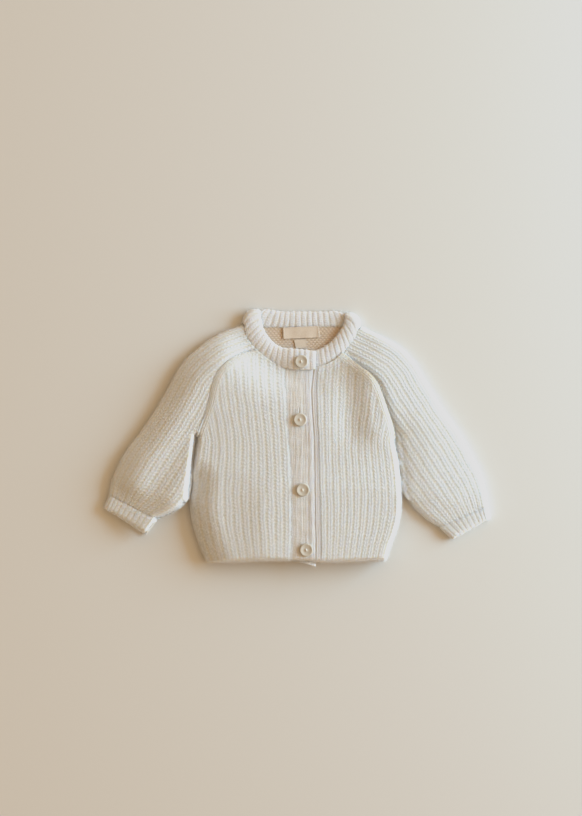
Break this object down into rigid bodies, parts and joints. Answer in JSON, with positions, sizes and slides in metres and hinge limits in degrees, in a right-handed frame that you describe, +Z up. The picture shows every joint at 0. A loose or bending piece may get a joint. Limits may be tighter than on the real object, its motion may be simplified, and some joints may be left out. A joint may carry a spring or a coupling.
{
  "type": "baby cardigan",
  "caption": "Baby's chunky rib-knit raglan cardigan with a round ribbed collar, balloon sleeves and a button front, buttoned up and laid flat on its back.",
  "frame": {"origin": "on the table, under the middle of the garment's outline", "axes": "+X towards the wearer's left sleeve, +Y from the hem to the collar, +Z up from the table that the garment lies on"},
  "size_m": [0.442, 0.2929, 0.0252],
  "materials": {
    "cream_knit": "chunky half-fisherman's rib in soft, slightly fuzzy off-white yarn",
    "collar_knit": "fine rib in soft, slightly fuzzy off-white yarn",
    "band_knit": "fine, dense upright rib in off-white yarn",
    "shell_button": "pale shell-like gloss",
    "peach_tape": "flat woven satin tape"
  },
  "bodies": {
    "root": {"back": "cream_knit", "hem_back": "cream_knit", "front_right": "cream_knit", "front_left": "cream_knit", "hem_front_right": "cream_knit", "hem_front_left": "cream_knit", "sleeve_right": "cream_knit", "sleeve_left": "cream_knit", "cuff_right": "cream_knit", "cuff_left": "cream_knit", "collar": "collar_knit", "buttonhole_band": "band_knit", "button_band": "band_knit", "button_1": "shell_button", "button_2": "shell_button", "button_3": "shell_button", "button_4": "shell_button", "label": "peach_tape", "size_tag": "peach_tape"}
  },
  "joints": []
}
